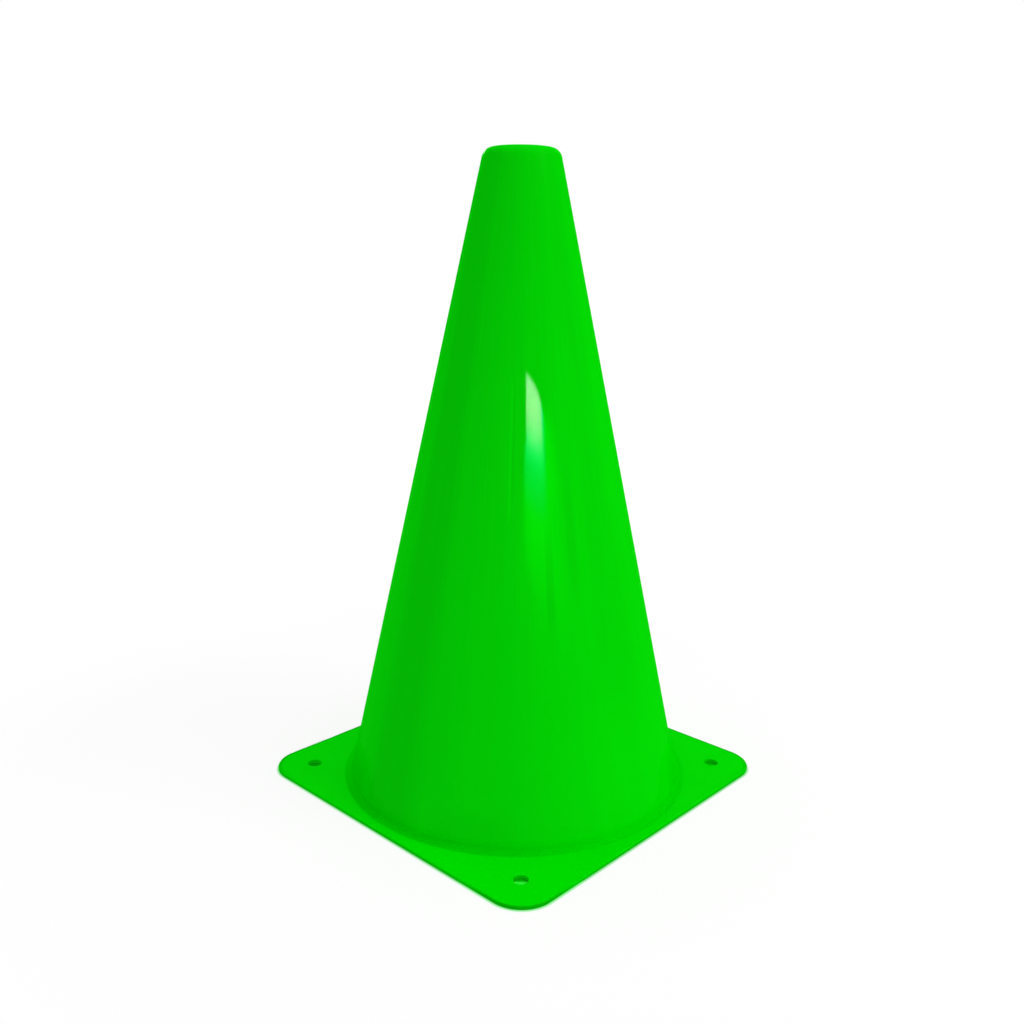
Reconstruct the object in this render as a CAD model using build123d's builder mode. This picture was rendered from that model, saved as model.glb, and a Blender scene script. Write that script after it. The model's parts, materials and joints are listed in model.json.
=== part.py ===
from build123d import *

import os
from math import atan2, degrees, sin

# A stacking sports marker cone: a thin round taper, open at both ends, on a thin square base plate.
# Millimetres. +Z is up along the cone's axis, and the origin is on the floor, under the middle of the cone.

# Driving dimensions of the whole cone
base_side = 137.0  # across the square plate, flat to flat
height = 230.0  # floor to the top of the rim
wall_thickness = 1.4  # one thickness everywhere, so that the plastic fills and cools evenly

# Driving dimensions of the foot and the plate
edge_land = 3.3  # narrowest strip of plate, between the foot of the cone and the middle of a side
foot_fillet = 2.2  # hollow rounding outside, where the taper runs into the plate
corner_radius = 12.5  # rounded corners of the plate
edge_break = 0.3  # bevel that takes the sharpness off the upper outside edge of the plate
peg_inset = 13.5  # middle of a peg hole from both of its sides
peg_hole_diameter = 5.0

# Driving dimensions of the rim
opening_diameter = 16.0  # round opening at the top
lip_width = 1.0  # flat lip round the opening, before the rounding starts
rim_rounding = 4.0  # outside of the turned-in rim

# Sizes that follow
seam_radius = base_side / 2 - edge_land
foot_radius = seam_radius - foot_fillet
opening_radius = opening_diameter / 2
rim_radius = opening_radius + lip_width + rim_rounding
peg_spacing = base_side - 2 * peg_inset
half_angle = atan2(foot_radius - rim_radius, height - wall_thickness)
nesting_pitch = wall_thickness / sin(half_angle)

# The tapering body is one thin section turned round the axis. Its outside runs from the plate in to the
# foot, up the taper and in over the rim to the opening; the inside follows it one wall thickness away.
with BuildPart() as cone_body:
    with BuildSketch(Plane.XZ):
        with BuildLine():
            FilletPolyline(
                (seam_radius, wall_thickness),
                (foot_radius, wall_thickness),
                (rim_radius, height),
                (opening_radius, height),
                radius=[foot_fillet, rim_rounding],
            )
            offset(amount=wall_thickness, side=Side.LEFT)
        make_face()
    revolve(axis=Axis.Z)
cone_body.part.label = "cone_body"

# The square plate surrounds the foot of the body, flush above and below, with a peg hole at each corner.
with BuildPart() as base_plate:
    with BuildSketch():
        RectangleRounded(base_side, base_side, corner_radius)
        Circle(seam_radius, mode=Mode.SUBTRACT)
        with GridLocations(peg_spacing, peg_spacing, 2, 2):
            Circle(peg_hole_diameter / 2, mode=Mode.SUBTRACT)
    extrude(amount=wall_thickness)
    top_face = base_plate.faces().sort_by(Axis.Z)[-1]
    chamfer(top_face.outer_wire().edges(), length=edge_break)
base_plate.part.label = "base_plate"

os.makedirs("parts", exist_ok=True)
export_step(cone_body.part, "parts/cone_body.step")
export_step(base_plate.part, "parts/base_plate.step")

plastic = cone_body.part.volume + base_plate.part.volume
print(f"taper {degrees(half_angle):.2f} degrees each side, rim {2 * rim_radius:.1f} mm across")
print(f"foot line radius {foot_radius:.2f} mm, seam radius {seam_radius:.2f} mm, peg spacing {peg_spacing:.1f} mm")
print(f"a nested cone stands {nesting_pitch:.2f} mm higher, {plastic / 1000:.1f} cm3 of plastic")
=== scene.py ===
# %% [markdown]
# # A sports marker cone
#
# The object is a training cone that marks out a pitch: a thin, hollow taper standing on a thin square plate
# with a peg hole in each corner. It comes out of the mould in one shot of glossy green plastic, so the
# lesson builds one skin for the whole of it. The packed model supplies the sizes, and everything here is in
# metres, in the same frame: the floor is at zero, and Z runs up the axis of the cone.

# %% Load the packed model
import json
import math

import bmesh
import bpy
import numpy as np
from mathutils import Matrix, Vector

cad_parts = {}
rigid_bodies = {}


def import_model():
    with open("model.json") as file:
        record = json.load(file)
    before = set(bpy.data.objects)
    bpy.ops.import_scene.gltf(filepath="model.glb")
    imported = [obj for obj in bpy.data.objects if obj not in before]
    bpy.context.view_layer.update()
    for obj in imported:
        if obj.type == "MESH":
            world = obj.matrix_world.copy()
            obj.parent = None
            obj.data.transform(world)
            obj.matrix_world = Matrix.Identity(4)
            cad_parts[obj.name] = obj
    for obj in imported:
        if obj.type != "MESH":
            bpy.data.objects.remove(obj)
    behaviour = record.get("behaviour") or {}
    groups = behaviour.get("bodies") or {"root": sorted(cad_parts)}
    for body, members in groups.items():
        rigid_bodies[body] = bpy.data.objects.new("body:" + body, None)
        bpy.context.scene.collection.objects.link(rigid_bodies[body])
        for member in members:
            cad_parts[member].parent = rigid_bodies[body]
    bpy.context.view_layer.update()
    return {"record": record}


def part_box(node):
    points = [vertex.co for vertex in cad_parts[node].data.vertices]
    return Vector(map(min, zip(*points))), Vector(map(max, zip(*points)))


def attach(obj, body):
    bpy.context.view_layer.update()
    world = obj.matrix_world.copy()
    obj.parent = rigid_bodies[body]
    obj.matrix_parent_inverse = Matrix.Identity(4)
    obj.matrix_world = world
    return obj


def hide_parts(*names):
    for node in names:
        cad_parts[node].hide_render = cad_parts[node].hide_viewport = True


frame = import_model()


# %% [markdown]
# ## Sizes
#
# The looks have to sit exactly on the solids, so the main sizes are measured on them and on the mounts in
# the record. Only the small roundings are written down again. They are kept together, so that a change in
# the model is followed in one place.

# %% Sizes of the moulding
MM = 0.001
plate_box, body_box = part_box("base_plate"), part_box("cone_body")
mounts = {mount["name"]: mount["dims"] for mount in frame["record"]["mounts"]}

half_side = plate_box[1].x
thickness = plate_box[1].z
height = body_box[1].z
seam_radius = body_box[1].x
opening_radius = mounts["rim_opening"]["r_mm"] * MM
peg_radius = mounts["peg_holes"]["hole_r_mm"] * MM
peg_reach = mounts["peg_holes"]["spacing_x_mm"] * MM / 2

foot_fillet = 2.2 * MM
rim_rounding = 4.0 * MM
lip_width = 1.0 * MM
corner_radius = 12.5 * MM
edge_round = 0.35 * MM

foot_radius = seam_radius - foot_fillet
rim_radius = opening_radius + lip_width + rim_rounding
print(f"plate {2000 * half_side:.1f} mm, height {1000 * height:.1f} mm, wall {1000 * thickness:.2f} mm")
print(f"foot radius {1000 * foot_radius:.2f} mm, rim radius {1000 * rim_radius:.2f} mm")

# %% [markdown]
# ## Camera
#
# The camera comes before the looks, because every comparison with the photograph depends on it. Its place
# was solved from the straight edges in the picture: the two sides of the taper, the four sides of the plate
# and the corner holes. A camera in Blender looks down its own -Z axis, so it is first tipped up to the
# horizon, then lowered by the pitch, and turned to its azimuth. The roll is the small tilt of the hand-held
# picture.

# %% Camera
camera_place = (0.2504, -0.2680, 0.1948)
azimuth, pitch, roll = math.radians(43.36), math.radians(14.09), math.radians(0.68)
sensor_width = 36.0
image_width = 1024
focal_pixels = 1026


def add_object(name, data):
    """A new object with this data, linked into the scene."""
    made = bpy.data.objects.new(name, data)
    bpy.context.scene.collection.objects.link(made)
    return made


camera_data = bpy.data.cameras.new("camera")
camera_data.sensor_width = sensor_width
camera_data.lens = sensor_width * focal_pixels / image_width
camera = add_object("camera", camera_data)
place = Matrix.Translation(camera_place)
tip = Matrix.Rotation(math.pi / 2 - pitch, 4, "X")
camera.matrix_world = place @ Matrix.Rotation(azimuth, 4, "Z") @ tip @ Matrix.Rotation(roll, 4, "Z")
bpy.context.scene.camera = camera
print(f"lens {camera_data.lens:.2f} mm, {1000 * camera.location.length:.0f} mm from the middle of the plate")

# %% [markdown]
# ## Section of the wall
#
# The moulding has one wall thickness everywhere, as thin plastic must to cool evenly. Its outside could be
# modelled and given a thickness by a Solidify modifier, but then the roundings of the two sides would not
# be true arcs. Here the outside is a run of straight lines and arcs that knows its own outward direction at
# each point, and the inside is the same run moved back by the thickness.

# %% Outside of the section
def ease(count):
    """Shares from 0 to 1 with closer steps near both ends: (1 - cos(pi s)) / 2."""
    return (1 - np.cos(np.linspace(0, np.pi, count))) / 2


def outward(heading):
    """The direction a quarter turn to the right of a heading: (sin h, -cos h)."""
    return np.stack([np.sin(heading), -np.cos(heading)], axis=-1)


def rounded_run(corners, radii, run_steps, arc_steps):
    """Points and outward normals along straight runs joined by arcs.

    A run goes from the end of one arc to the start of the next. On an arc the point moves by the radius times
    the change of the normal: with it on a convex corner, against it in a hollow one."""
    steps = np.diff(corners, axis=0)
    heading = np.unwrap(np.arctan2(steps[:, 1], steps[:, 0]))
    turn = np.diff(heading)
    cut = np.concatenate([[0], radii * np.tan(abs(turn) / 2), [0]])[:, None]
    along = steps / np.linalg.norm(steps, axis=1, keepdims=True)
    start, end = corners[:-1] + along * cut[:-1], corners[1:] - along * cut[1:]
    points, normals = [], []
    for run, count in enumerate(run_steps):
        points.append(start[run] + (end[run] - start[run]) * ease(count)[:, None])
        normals.append(np.tile(outward(heading[run]), (count, 1)))
        if run < len(turn):
            bend = outward(np.linspace(heading[run], heading[run + 1], arc_steps + 1)[1:-1])
            points.append(end[run] + np.sign(turn[run]) * radii[run] * (bend - outward(heading[run])))
            normals.append(bend)
    return np.concatenate(points), np.concatenate(normals)


outline_corners = np.array([
    (seam_radius, thickness),
    (foot_radius, thickness),
    (rim_radius, height),
    (opening_radius + edge_round, height),
])
outside, outside_normals = rounded_run(
    outline_corners, np.array([foot_fillet, rim_rounding]), run_steps=(3, 64, 5), arc_steps=12
)
print(f"{len(outside)} points from the seam to the lip")

# %% [markdown]
# ## Edges
#
# No edge of a moulding is sharp. The lip of the opening, the rim of the plate and the peg holes all end the
# same sheet of plastic in the same way, so one small section serves all three: a quarter round, a short
# flat and a second quarter round. It is given as the distance in from the edge and the height above the
# lower face.

# %% Section of an edge
def edge_section(sheet, rounding, steps=5):
    """From the upper face to the lower one: in = e (1 - sin a), up = t - e (1 - cos a), then its mirror."""
    quarter = np.linspace(0, np.pi / 2, steps)
    upper = np.stack([rounding * (1 - np.sin(quarter)), sheet - rounding * (1 - np.cos(quarter))], axis=-1)
    lower = np.stack([upper[::-1, 0], sheet - upper[::-1, 1]], axis=-1)
    return np.concatenate([upper, lower])


edge = edge_section(thickness, edge_round)
inside = outside - thickness * outside_normals
lip = edge + (opening_radius, height - thickness)
section = np.concatenate([outside, lip[1:-1], inside[::-1]])
print(f"{len(section)} points round the whole section")

# %% [markdown]
# ## Turned body
#
# The section now goes round the axis, as it would on a lathe. A Screw modifier would do that too. Working
# the points out keeps their count in hand: the seam of the body has to meet the plate point for point.

# %% Turned body
segments = 256


def turned(profile, angles):
    """A profile of (radius, height) points carried round the axis: x = r cos a, y = r sin a."""
    radius, level = profile[:, :1], profile[:, 1:]
    return np.stack([radius * np.cos(angles), radius * np.sin(angles), level + 0 * angles], axis=-1)


patches = []
around = np.arange(segments) * 2 * np.pi / segments
patches.append((turned(section, around), "closed", "as is"))
print("turned body:", patches[-1][0].shape[:2], "points")

# %% [markdown]
# ## Outline of the plate
#
# The plate is a square with rounded corners. A quarter of its outline is enough: half of one side, a corner
# and half of the next. The points on the flat stretch lie straight out from the points of the seam circle,
# so that the strip between them is a plain grid. The corner has points of its own, close enough for a
# smooth arc.

# %% Outline of a quarter of the plate
strip = np.pi / 8
strip_angles = np.linspace(-strip, strip, segments // 8 + 1)
strip_end = half_side * np.tan(strip)
arc_centre = half_side - corner_radius

flat_points = np.stack([np.full_like(strip_angles, half_side), half_side * np.tan(strip_angles)], axis=-1)
flat_normals = np.tile((1.0, 0.0), (len(strip_angles), 1))
corner_points, corner_normals = rounded_run(
    np.array([(half_side, strip_end), (half_side, half_side), (strip_end, half_side)]),
    np.array([corner_radius]),
    run_steps=(15, 15),
    arc_steps=36,
)
print(f"quarter outline: {len(flat_points)} points on the flat, {len(corner_points)} round the corner")

# %% [markdown]
# ## Faces of the plate
#
# A hole in a flat sheet is usually cut with a Boolean modifier, which leaves long thin triangles that shade
# badly. Instead, the sheet is divided into patches that are grids. Beside each side lies a strip, from the
# seam circle straight out to the edge. Round each peg hole lies a fan: its rays run from the rim of the
# hole to the boundary of the corner, which is the seam, the ends of the two strips and the rounded outline.

# %% Strips and fans
def between(inner, outer, count):
    """A grid of straight lines from each inner point to its outer point: p = a + (b - a) s."""
    share = ease(count)[:, None, None]
    return inner + (outer - inner) * share


def at_level(points, level):
    """Flat points lifted to a height."""
    return np.concatenate([points, np.full_like(points[..., :1], level)], axis=-1)


def quarter_turns(points):
    """The same patch on all four quarters: each turn takes (x, y) to (-y, x)."""
    x, y, z = np.moveaxis(points, -1, 0)
    return [np.stack(turn, axis=-1) for turn in ((x, y, z), (-y, x, z), (-x, -y, z), (y, -x, z))]


def on_circle(radius, angles):
    """Flat points at a radius: (r cos a, r sin a)."""
    return radius * np.stack([np.cos(angles), np.sin(angles)], axis=-1)


flat_edge = flat_points - edge_round * flat_normals
strip_grid = between(on_circle(seam_radius, strip_angles), flat_edge, count=9)
far_end = strip_grid[:, -1]
near_end = far_end[:, ::-1]
corner_edge = corner_points - edge_round * corner_normals
seam_back = on_circle(seam_radius, np.pi / 4 - strip_angles)
fan_boundary = np.concatenate([far_end[:-1], corner_edge[:-1], near_end[:0:-1], seam_back[:-1]])

peg_centre = np.array([peg_reach, peg_reach])
rays = fan_boundary - peg_centre
ray_angles = np.arctan2(rays[:, 1], rays[:, 0])
hole_edge = peg_centre + on_circle(peg_radius + edge_round, ray_angles)
fan_grid = between(hole_edge, fan_boundary, count=12)

for level, facing in ((thickness, "turned over"), (0.0, "as is")):
    patches += [(patch, "open", facing) for patch in quarter_turns(at_level(strip_grid, level))]
    patches += [(patch, "closed", facing) for patch in quarter_turns(at_level(fan_grid, level))]
print(f"strip {strip_grid.shape[:2]}, fan {fan_grid.shape[:2]}, {len(patches)} patches so far")

# %% [markdown]
# ## Rims of the plate and of the peg holes
#
# The edge section is carried along two paths: outside, along the outline of the plate, and inside, round
# each hole. The points of the paths are those where the flat patches end, so all of them meet.

# %% Edge bands
def edge_band(path, normals):
    """The edge section along a path: each point moves in against the path's normal, and up."""
    inset, level = edge[:, 0, None, None], edge[:, 1, None, None]
    flat = path - normals * inset
    return np.concatenate([flat, level + 0 * flat[..., :1]], axis=-1)


quarter_path = np.concatenate([flat_points[:-1], corner_points])
quarter_normals = np.concatenate([flat_normals[:-1], corner_normals])
rim_band = edge_band(quarter_path, quarter_normals)
patches += [(band, "open", "turned over") for band in quarter_turns(rim_band)]

hole_normals = -on_circle(1.0, ray_angles)
hole_path = peg_centre - peg_radius * hole_normals
hole_band = edge_band(hole_path, hole_normals)
patches += [(band, "closed", "as is") for band in quarter_turns(hole_band)]
print(len(patches), "patches in all")

# %% [markdown]
# ## One skin
#
# The patches share the points along their borders, so they are joined and the doubles merged. A closed skin
# has two faces at every edge and a volume above zero when its faces point outwards. Both are measured, and
# the volume comes out at that of the solids, 85.8 cubic centimetres.

# %% Weld the patches into one mesh
def grid_faces(shape, closed):
    """The four corners of each cell of a grid; a closed grid joins its last column to its first."""
    index = np.arange(shape[0] * shape[1]).reshape(shape[:2])
    if closed:
        index = np.concatenate([index, index[:, :1]], axis=1)
    return np.stack([index[:-1, :-1], index[:-1, 1:], index[1:, 1:], index[1:, :-1]], axis=-1).reshape(-1, 4)


def weld(name, parts):
    """One mesh object from grid patches, with points closer than a micrometre merged."""
    points, faces, offset = [], [], 0
    for grid, closing, facing in parts:
        cells = grid_faces(grid.shape, closing == "closed") + offset
        faces.append(cells[:, ::-1] if facing == "turned over" else cells)
        points.append(grid.reshape(-1, 3))
        offset += len(points[-1])
    mesh = bpy.data.meshes.new(name)
    mesh.from_pydata(np.concatenate(points), [], np.concatenate(faces))
    work = bmesh.new()
    work.from_mesh(mesh)
    bmesh.ops.remove_doubles(work, verts=work.verts, dist=1e-6)
    loose = sum(not line.is_manifold for line in work.edges)
    print(f"{name}: {len(work.faces)} faces, {loose} open edges, {work.calc_volume() * 1e6:.2f} cubic cm")
    work.to_mesh(mesh)
    work.free()
    mesh.shade_smooth()
    return add_object(name, mesh)


cone_shell = weld("cone_shell", patches)

# %% [markdown]
# ## Writing a material as arithmetic
#
# A finish is a graph of nodes. Wiring each node by hand hides the idea, so a small class wraps an output
# socket, and ordinary arithmetic on it adds Math nodes. Every other node is made by one method, which takes
# the kind of node, its settings and what goes into its sockets. Colours don't go through arithmetic,
# because a Math node turns a colour grey; they are blended by a Mix node.

# %% Shader arithmetic
def both_ways(operation):
    """The two methods of an operator: wire - 1, and the reflected form, 1 - wire."""

    def plain(wire, other):
        return wire.math(operation, wire, other)

    def reflected(wire, other):
        return wire.math(operation, other, wire)

    return plain, reflected


class Wire:
    """An output socket in a node tree; +, -, *, /, ** and abs() on it add Math nodes."""

    def __init__(self, tree, socket):
        self.tree, self.socket = tree, socket

    @staticmethod
    def node(tree, kind, settings=None, sockets=None):
        """Add a node, settings first, then a value or a wire for each socket; gives its first output."""
        made = tree.nodes.new(kind)
        for name, value in (settings or {}).items():
            setattr(made, name, value)
        for name, value in (sockets or {}).items():
            if isinstance(value, Wire):
                tree.links.new(value.socket, made.inputs[name])
            else:
                made.inputs[name].default_value = value
        return Wire(tree, next(iter(made.outputs), None))

    def __getitem__(self, output):
        """Another output of the same node, by its name."""
        return Wire(self.tree, self.socket.node.outputs[output])

    def math(self, operation, first, second):
        """One Math node on two values or wires."""
        return Wire.node(self.tree, "ShaderNodeMath", {"operation": operation}, {0: first, 1: second})

    __add__, __radd__ = both_ways("ADD")
    __sub__, __rsub__ = both_ways("SUBTRACT")
    __mul__, __rmul__ = both_ways("MULTIPLY")
    __truediv__, __rtruediv__ = both_ways("DIVIDE")
    __pow__, __rpow__ = both_ways("POWER")

    def __abs__(self):
        return self.math("ABSOLUTE", self, 0.0)

    def at_least(self, other):
        """The larger of the two."""
        return self.math("MAXIMUM", self, other)

    def fade(self, start, end):
        """A smooth step from 0 at start to 1 at end: s s (3 - 2 s)."""
        return Wire.node(self.tree, "ShaderNodeMapRange", {"interpolation_type": "SMOOTHSTEP"}, {
            "Value": self, "From Min": start, "From Max": end,
        })

    def blend(self, start, end):
        """A colour between two others: start where this wire is 0, end where it is 1."""
        return Wire.node(self.tree, "ShaderNodeMix", {"data_type": "RGBA"}, {
            "Factor": self, "A": start, "B": end,
        })["Result"]


print("a wire has", ", ".join(name for name in vars(Wire) if not name.startswith("_")))

# %% [markdown]
# ## Starting a material
#
# Each material starts from an empty tree. The plastic and the floor read Object coordinates, which are the
# metres of the model, because both pieces sit at the origin. Both also have to know how far a spot is from
# the outline of the plate. That needs no map painted on the mesh: the distance to a rounded square is a
# short formula.

# %% Start of a material
def empty_material(name):
    """A material whose node tree has nothing in it yet."""
    material = bpy.data.materials.new(name)
    material.use_nodes = True
    material.node_tree.nodes.clear()
    return material


def object_axes(tree):
    """The Object coordinates of a spot, one wire each."""
    place = Wire.node(tree, "ShaderNodeTexCoord")["Object"]
    parts = Wire.node(tree, "ShaderNodeSeparateXYZ", None, {0: place})
    return [parts[axis] for axis in "XYZ"]


def past_plate(x, y):
    """How far a spot is outside the outline of the plate; within it, less than zero.

    It is the length of (max(|x| - k, 0), max(|y| - k, 0)) less the radius of a corner, with k the half side
    less that radius."""
    aside, ahead = ((abs(side) - arc_centre).at_least(0.0) for side in (x, y))
    return (aside ** 2 + ahead ** 2) ** 0.5 - corner_radius


green_plastic = empty_material("green_plastic")
tree = green_plastic.node_tree
x, y, z = object_axes(tree)
reach = (x ** 2 + y ** 2) ** 0.5
east, north = x / reach, y / reach
print(green_plastic.name, "starts with", len(tree.nodes), "nodes")

# %% [markdown]
# ## Lines down the wall
#
# Moulded polyethylene has its colour all through, and what makes it look real is small. Faint lines run
# down the wall, left by polishing the mould and by the flow of the melt. An image wrapped round the cone
# would meet itself in a seam. Here noise is read at the direction from the axis, and only slowly along the
# height, so the lines follow the taper and have no seam. The fine ones come in patches and are stronger
# higher up.

# %% Lines down the wall
def lines(around, along, detail):
    """Noise at (around x/r, around y/r, along z), less its mean of a half."""
    spot = Wire.node(tree, "ShaderNodeCombineXYZ", None, {
        0: east * around, 1: north * around, 2: z * along,
    })
    noise = Wire.node(tree, "ShaderNodeTexNoise", None, {"Vector": spot, "Scale": 1.0, "Detail": detail})
    return noise["Fac"] - 0.5


on_wall = z.fade(thickness, thickness + foot_fillet)
upper_half = z.fade(height / 5, height / 2)
patches_of_lines = lines(around=5, along=30, detail=1.0).fade(-0.2, 0.2)
fine_lines = lines(around=60, along=22, detail=3.0) * patches_of_lines * (0.3 + 0.7 * upper_half) * on_wall
broad_lines = lines(around=7, along=14, detail=2.0)
print(len(tree.nodes), "nodes with the lines")

# %% [markdown]
# ## Painted light and shade on the wall
#
# Broad bands of painted light and shade run down the wall, among them painted shade near the foot, and four
# thin painted lines beside the brightest reflection stand in for streaks in that reflection. Such bands and
# lines are plain enough to be placed one by one. A bearing is counted from -Y towards +X. The cosine of the
# angle between a spot's direction and a bearing, faded, is a stripe that narrows with the taper. Each term
# below says how much darker or lighter a stripe is, where it is round the axis, and at which heights.

# %% Stripes at a bearing
def towards(bearing):
    """How far a spot's direction from the axis agrees with a bearing in degrees: cos(a - b)."""
    b = math.radians(bearing)
    return east * math.sin(b) - north * math.cos(b)


def stripe(bearing, width):
    """1 at a bearing and 0 beyond the width, both in degrees: a smooth step of cos(a - b)."""
    return towards(bearing).fade(math.cos(math.radians(width)), 1.0)


def mark(bearing, width, bottom, top, soft):
    """A stripe between two heights with soft ends, all three in millimetres."""
    ends = z.fade(bottom * MM, (bottom + soft) * MM) * z.fade(top * MM, (top - soft) * MM)
    return stripe(bearing, width) * ends


near_foot = z.fade(18 * MM, 8 * MM)
# Painted bands of light and shade down the wall, with painted shade near the foot.
painted_light_and_shade_bands = (
    stripe(bearing=-2, width=16)
    - 0.8 * stripe(bearing=-38, width=20) * (1 - near_foot)
    + 0.4 * stripe(bearing=88, width=13) * z.fade(20 * MM, 70 * MM)
    - 0.5 * stripe(bearing=92, width=42) * z.fade(60 * MM, 25 * MM)
    + 0.8 * stripe(bearing=-24, width=15) * near_foot
    + 0.5 * stripe(bearing=30, width=18) * near_foot
    + 0.7 * stripe(bearing=116, width=8) * near_foot
)
# Painted streaks of the brightest reflection: one light line and three dark ones beside it.
painted_reflection_streaks = (
    0.5 * mark(bearing=39.0, width=1.0, bottom=107, top=157, soft=6)
    - 0.3 * mark(bearing=40.6, width=1.0, bottom=112, top=157, soft=10)
    - 0.6 * mark(bearing=57.9, width=2.3, bottom=68, top=110, soft=16)
    - 0.28 * mark(bearing=69.2, width=3.0, bottom=76, top=136, soft=24)
)
print(len(tree.nodes), "nodes with the stripes")

# %% [markdown]
# ## Painted shade
#
# Some places are painted a darker green as shade: the hollow at the foot of the wall, the insides of the peg
# holes, where light hardly comes, and a line on the two far edges and the nearest corner of the plate, where
# its thin edge turns away. Each is a mask made of fades of a distance, and the strongest mask holds. The
# hollow also has less gloss.

# %% Painted shade
at_foot = reach.fade(seam_radius + 0.8 * MM, seam_radius - 0.6 * MM)
# Painted shade in the hollow at the foot of the wall, and less gloss there.
hollow = at_foot * z.fade(thickness + 2.6 * MM, thickness + 0.4 * MM)
less_gloss_at_foot = at_foot * z.fade(thickness + 5.0 * MM, thickness + 2.5 * MM)

peg_distance = ((abs(x) - peg_reach) ** 2 + (abs(y) - peg_reach) ** 2) ** 0.5
# Painted shade inside the peg holes.
painted_bore_shade = peg_distance.fade(peg_radius + 0.2 * MM, peg_radius)

past_edge = past_plate(x, y)
# Painted shade along the two far edges and at the nearest corner of the plate.
painted_far_edge_shade = past_edge.fade(-1.8 * MM, -1.0 * MM) * (x - y).fade(25 * MM, -15 * MM)
painted_corner_shade = past_edge.fade(-0.4 * MM, -0.1 * MM) * stripe(bearing=45, width=13)

painted_foot_shade_strength = 0.33 + 0.42 * stripe(bearing=12, width=65)
# Painted shade: the strongest of these masks.
painted_shade = (painted_foot_shade_strength * hollow).at_least(0.7 * painted_bore_shade).at_least(painted_far_edge_shade + painted_corner_shade)
print(len(tree.nodes), "nodes with the masks")

# %% [markdown]
# ## Green plastic
#
# Now the parts come together. Light is painted onto the plate on the side that lies in the cone's shadow
# from the side lamp, the wall is painted darker towards its top, and the lines and painted bands are added.
# The gloss is a thin clear coat that the fine lines break up. An ordinary coat reflects twenty-five times as
# much where the wall turns away from the eye as it does straight on, which would lay the white studio over
# the sides as a grey veil. With a high index the reflection grows only four times, so such a coat with a
# tiny weight keeps the sides green.

# %% Green plastic
# The third green is the colour of the painted shade.
shaded_green, lit_green, painted_shade_green = ((0.0, level, 0.0, 1.0) for level in (0.57, 0.68, 0.44))
coat_weight = 0.0064
lines_in_coat = 0.0056

# Painted light on the plate's side in the cone's shadow, and painted shade towards the top of the wall.
painted_light_drift = 0.35 * towards(-70) * (1 - on_wall) - 0.4 * z.fade(height / 2, height)
tone = 0.53 + painted_light_drift + painted_reflection_streaks + 0.4 * broad_lines + 0.8 * fine_lines - 0.5 * painted_light_and_shade_bands * on_wall
relief = Wire.node(tree, "ShaderNodeBump", None, {
    "Strength": 0.15, "Distance": 0.02 * MM, "Height": fine_lines,
})
finish = Wire.node(tree, "ShaderNodeBsdfPrincipled", None, {
    "Base Color": painted_shade.blend(tone.blend(shaded_green, lit_green), painted_shade_green),
    "Roughness": 0.32 + 0.12 * fine_lines,
    "Specular IOR Level": 0.0,
    "Coat Weight": (coat_weight - lines_in_coat * fine_lines) * (1 - less_gloss_at_foot),
    "Coat IOR": 3.0,
    "Coat Roughness": 0.012,
    "Normal": relief,
})
Wire.node(tree, "ShaderNodeOutputMaterial", None, {"Surface": finish})

cone_shell.data.materials.append(green_plastic)
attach(cone_shell, "root")
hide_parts("cone_body", "base_plate")
print(cone_shell.name, "wears", cone_shell.data.materials[0].name, "of", len(tree.nodes), "nodes")

# %% [markdown]
# ## Surroundings
#
# The cone stands in a white studio. The camera, reflections and light passing through see pure white, and
# the light that falls on the cone is held at a plain level, so that the green renders about as it is
# written.

# %% White surroundings
white = (1.0, 1.0, 1.0, 1.0)
ambient = 0.785


def seen_directly(tree):
    """1 for camera rays, mirror rays and rays passing through, and 0 for light on its way to a surface."""
    path = Wire.node(tree, "ShaderNodeLightPath")
    return path["Is Camera Ray"].at_least(path["Is Glossy Ray"]).at_least(path["Is Transmission Ray"])


world = bpy.data.worlds.new("white_studio")
world.use_nodes = True
world.node_tree.nodes.clear()
glow = Wire.node(world.node_tree, "ShaderNodeBackground", None, {
    "Color": white, "Strength": ambient + (1 - ambient) * seen_directly(world.node_tree),
})
Wire.node(world.node_tree, "ShaderNodeOutputWorld", None, {"Surface": glow})
bpy.context.scene.world = world
print("surroundings light the cone at", ambient)

# %% [markdown]
# ## Floor
#
# The floor is pale and plain. Seen by the camera, most of its white is its own, so that only a light, soft
# shadow of the cone remains on it, as on a studio table lit from below. Under the plate and just beyond its
# edge the floor is painted dark green, a painted shade that the peg holes look into, and under the front hole
# a strip is painted lighter, as if lit; just beyond the edge its own glow is painted green, a painted green
# light. Light on its way to the underside comes up through the floor under the plate, as it does through a
# light table, so that the underside and the hollow aren't black. Seen from below the floor is clear, so that
# the underside can be looked at.

# %% Paper of the floor
own_white = 0.78
own_strength = 1.06
tint_reach = 1.1 * MM
# Colours of the floor's painted shade, painted lit strip and painted green light near the plate.
shaded_floor = (0.0, 0.38, 0.0, 1.0)
lit_strip = (0.025, 0.82, 0.035, 1.0)
painted_green_light = (0.3, 0.88, 0.35, 1.0)
grey_paper = (0.66, 0.66, 0.66, 1.0)


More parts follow.
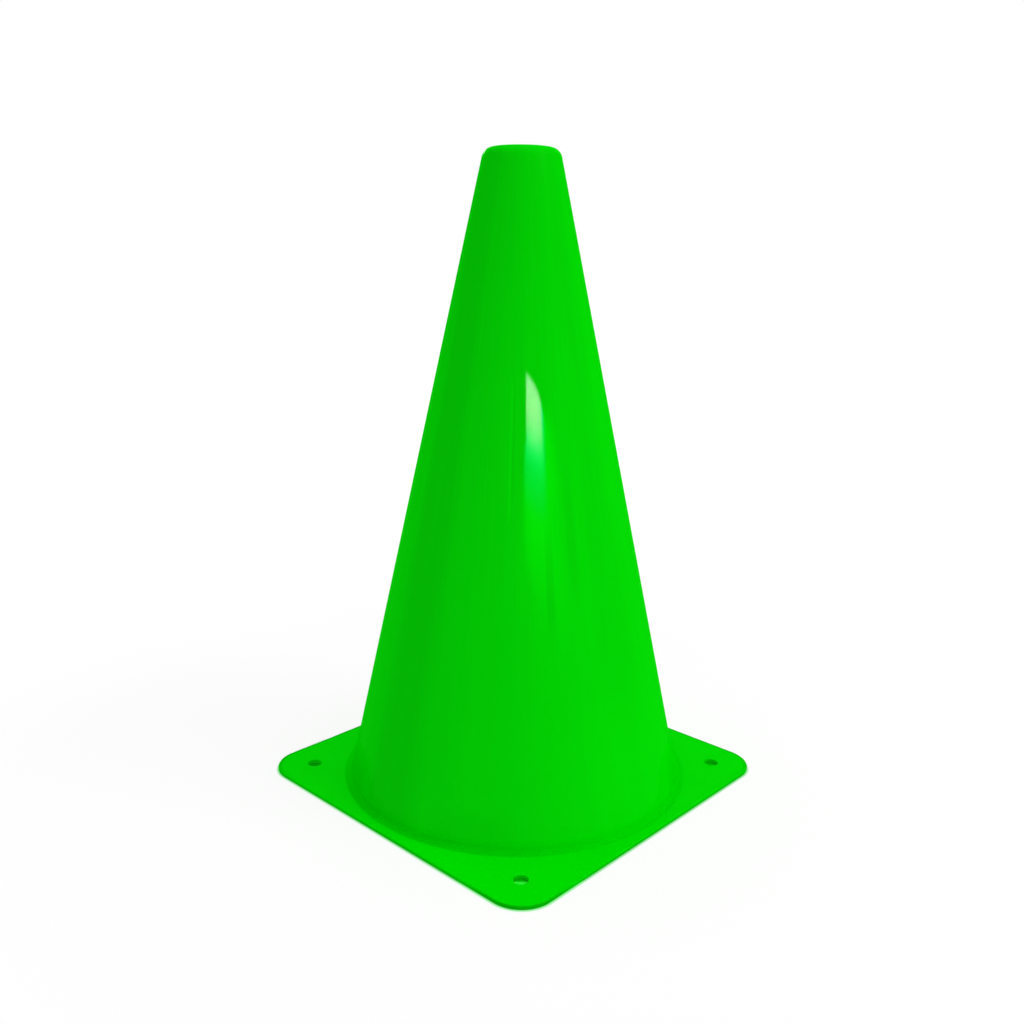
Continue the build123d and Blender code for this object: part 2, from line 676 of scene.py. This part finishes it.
def pale_floor(name):
    """White paper: what the lamps light, plus, outside the plate and for the camera, a share of its own."""
    material = empty_material(name)
    tree = material.node_tree
    x, y, _ = object_axes(tree)
    gap = past_plate(x, y)
    open_floor, beyond = gap.fade(-edge_round, 0.0), gap.fade(0.0, tint_reach)
    direct = seen_directly(tree)

    near_side = (x - y).fade(2 * peg_reach - 2.0 * MM, 2 * peg_reach - 0.8 * MM)
    under_plate = near_side.blend(shaded_floor, lit_strip)
    paper = Wire.node(tree, "ShaderNodeBsdfPrincipled", None, {
        "Base Color": beyond.blend(under_plate, grey_paper), "Specular IOR Level": 0.0,
    })
    light = Wire.node(tree, "ShaderNodeEmission", None, {
        "Color": beyond.blend(painted_green_light, white), "Strength": own_strength,
    })
    far_off = gap.fade(half_side, 5 * half_side)
    share = (own_white + (1 - own_white) * far_off) * open_floor * direct
    seen = Wire.node(tree, "ShaderNodeMixShader", None, {0: share, 1: paper, 2: light})

    from_below = Wire.node(tree, "ShaderNodeNewGeometry")["Backfacing"]
    let_through = from_below.at_least((1 - open_floor) * (1 - direct))
    clear = Wire.node(tree, "ShaderNodeBsdfTransparent")
    sided = Wire.node(tree, "ShaderNodeMixShader", None, {0: let_through, 1: seen, 2: clear})
    Wire.node(tree, "ShaderNodeOutputMaterial", None, {"Surface": sided})
    return material


floor_paper = pale_floor("pale_floor")
print(floor_paper.name, "has", len(floor_paper.node_tree.nodes), "nodes")

# %% Floor
floor_size = 12.0
floor_drop = 0.1 * MM


def grid_mesh(name, grid, material):
    """A mesh of one open grid in one material."""
    mesh = bpy.data.meshes.new(name)
    mesh.from_pydata(grid.reshape(-1, 3), [], grid_faces(grid.shape, closed=False))
    mesh.materials.append(material)
    return mesh


ends = np.array([-floor_size, floor_size]) / 2
floor_grid = np.stack([*np.meshgrid(ends, ends), np.full((2, 2), -floor_drop)], axis=-1)
floor = add_object("floor", grid_mesh("floor", floor_grid, floor_paper))
print("floor", floor_size, "m square, facing up:", floor.data.polygons[0].normal.z > 0)

# %% [markdown]
# ## Soft lamps
#
# The wall grows lighter from left to right, so one soft lamp stands on the right. The plate is lighter than
# the wall on every side, so a second one hangs overhead, where the cone throws next to no shadow.

# %% Soft lamps
def soft_lamp(name, bearing, climb, distance, size, power):
    """A square area lamp at a bearing and height angle from the cone, facing its middle."""
    data = bpy.data.lights.new(name, "AREA")
    data.energy, data.size = power, size
    lamp = add_object(name, data)
    turn = Matrix.Rotation(math.radians(bearing), 4, "Z")
    tilt = Matrix.Rotation(math.radians(90 - climb), 4, "X")
    middle, away = Matrix.Translation((0, 0, height / 2)), Matrix.Translation((0, 0, distance))
    lamp.matrix_world = middle @ turn @ tilt @ away
    return lamp


for lamp in (
    soft_lamp("side_lamp", bearing=115, climb=43, distance=1.6, size=0.8, power=9.3),
    soft_lamp("top_lamp", bearing=0, climb=90, distance=1.6, size=1.0, power=5.2),
):
    print(lamp.name, "at", [round(v, 2) for v in lamp.matrix_world.translation])

# %% [markdown]
# ## Window
#
# The bright sail-shaped reflection is that of a window ahead and to the right: pale sky at its top, and a
# green field below, where it fades. On a taper a reflection squeezes something wide into a narrow upright
# shape, so the window is worked out the other way round: each spot of the reflection gives a bearing and a
# height angle, and the window is a sheet at those directions. A picture of a window on an area lamp would
# do too, but a formula on the points of the sheet needs no picture.

# %% Directions from the cone
window_distance = 3.0
reflection_height = 0.14
left_bearing, right_bearing = 30, 97
low_climb, high_climb = -7, 19


def seen_from_cone(bearing, climb):
    """Points at a bearing and a climb, in degrees: (sin b cos c, -cos b cos c, sin c) times the distance."""
    b, c = np.radians(bearing), np.radians(climb)
    direction = np.stack([np.sin(b) * np.cos(c), -np.cos(b) * np.cos(c), np.sin(c)], axis=-1)
    return (0, 0, reflection_height) + window_distance * direction


bearing, climb = np.meshgrid(
    np.linspace(left_bearing, right_bearing, 135), np.linspace(low_climb, high_climb, 105), indexing="ij"
)
print("lower left", seen_from_cone(left_bearing, low_climb).round(2))
print("upper right", seen_from_cone(right_bearing, high_climb).round(2))

# %% [markdown]
# ## Shape of the window
#
# The window's upper edge sinks a little to the right and then bends down, and its left edge steps to and
# fro, as the sail does. Below the sky the field shows through two panes, the right one with a brighter
# shoulder, and an arch closes them at the top. All of it is given in degrees: across from the left edge,
# and up.

# %% Sky and field
window_left = 52


def fade(value, start, end):
    """A smooth step from 0 at start to 1 at end: s s (3 - 2 s)."""
    s = np.clip((value - start) / (end - start), 0, 1)
    return s * s * (3 - 2 * s)


across = bearing - window_left
sky_top = 18.42 - 0.1 * across - 1.2 * (across / 22) ** 6
left_edge = 0.2 - 2.6 * fade(climb, 14.8, 13.2) + 7 * fade(climb, 7.5, 4)
open_side = fade(across - left_edge, 0, 1.1 + 4 * fade(climb, 11, 6))
sky = fade(sky_top - climb, -0.1, 0.1) * open_side

left_pane = (0.4 * fade(climb, 0, 9.5) + 0.13 * fade(climb, 9.8, 11.6)) * open_side
shoulder = 0.18 * np.exp(-((across - 28) / 5) ** 2) * fade(climb, 8.5, 10.5)
right_pane = (0.27 * fade(climb, -5, 6) + shoulder) * fade(across, 42, 30)
arch = fade(np.hypot(across / 39, np.maximum(climb - 9, 0) / 8), 1.04, 0.9)
field = arch * (left_pane + (right_pane - left_pane) * fade(across, 22, 27))
print(f"sky on {(sky > 0.5).mean():.0%} of the sheet, field up to {field.max():.2f}")

# %% [markdown]
# ## Colours of the window
#
# The three colours of the sky fade at different heights, which turns the white first blue-green and then
# green. The fading line leans to the right and has small folds, because the wall isn't perfectly even. The
# light is kept in a colour attribute of the sheet.

# %% Light of the window
folds = 0.3 * np.sin(1.9 * across) + 0.25 * np.sin(4.3 * across + 1)
leaning = climb + 0.09 * across + folds
right_end = fade(across, 20.7, 17.7)
soft_end = fade(across, 25, 16)

sky_red = 0.83 * sky * right_end * fade(leaning, 13.7, 17.0)
sky_green = sky * right_end * (fade(leaning, 12.6, 14.6) + 0.16 * fade(leaning, 15.8, 17.4))
sky_blue = sky * soft_end * (0.7 * fade(leaning, 12.5, 17.5) + 0.095 * fade(leaning, 9.8, 12.5))
window_light = np.stack([sky_red, field + (1 - field) * sky_green, sky_blue], axis=-1)
print("brightest", window_light.max(axis=(0, 1)).round(2))

# %% [markdown]
# ## Light sheets
#
# A sheet adds its light to what is seen through it, and only reflections see it: it lights nothing, and the
# camera looks past it. It has to be bright, because the thin coat reflects only a small part of it. A
# second sheet stands behind the cone, so that the back shows its gloss too. It has the sky alone, because
# the field would draw a bright line on the outline of the cone.

# %% Light sheets
window_strength = 220


def light_sheet(name, grid, colours):
    """A staged sheet of light, with a colour at each point of its grid."""
    material = empty_material(name)
    tree = material.node_tree
    painted = Wire.node(tree, "ShaderNodeAttribute", {"attribute_name": "light"})
    light = Wire.node(tree, "ShaderNodeEmission", None, {
        "Color": painted["Color"], "Strength": window_strength,
    })
    clear = Wire.node(tree, "ShaderNodeBsdfTransparent")
    both = Wire.node(tree, "ShaderNodeAddShader", None, {0: light, 1: clear})
    Wire.node(tree, "ShaderNodeOutputMaterial", None, {"Surface": both})

    mesh = grid_mesh(name, grid, material)
    opaque = np.concatenate([colours, np.ones_like(colours[..., :1])], axis=-1)
    mesh.attributes.new("light", "FLOAT_COLOR", "POINT").data.foreach_set("color", opaque.ravel())
    sheet = add_object(name, mesh)
    sheet.visible_camera = False
    sheet.visible_diffuse = False
    return sheet


only_sky = fade(climb, 12.5, 15.5)[..., None]
for name, turn, light in (
    ("window_ahead", 0, window_light),
    ("window_behind", 180, window_light * only_sky),
):
    window = light_sheet(name, seen_from_cone(bearing + turn, climb), light)
    print(name, "has", len(window.data.polygons), "faces")

# %% [markdown]
# ## View
#
# The picture is shown with the Standard view, which leaves colours as they are.

# %% Finish
bpy.context.scene.view_settings.view_transform = "Standard"
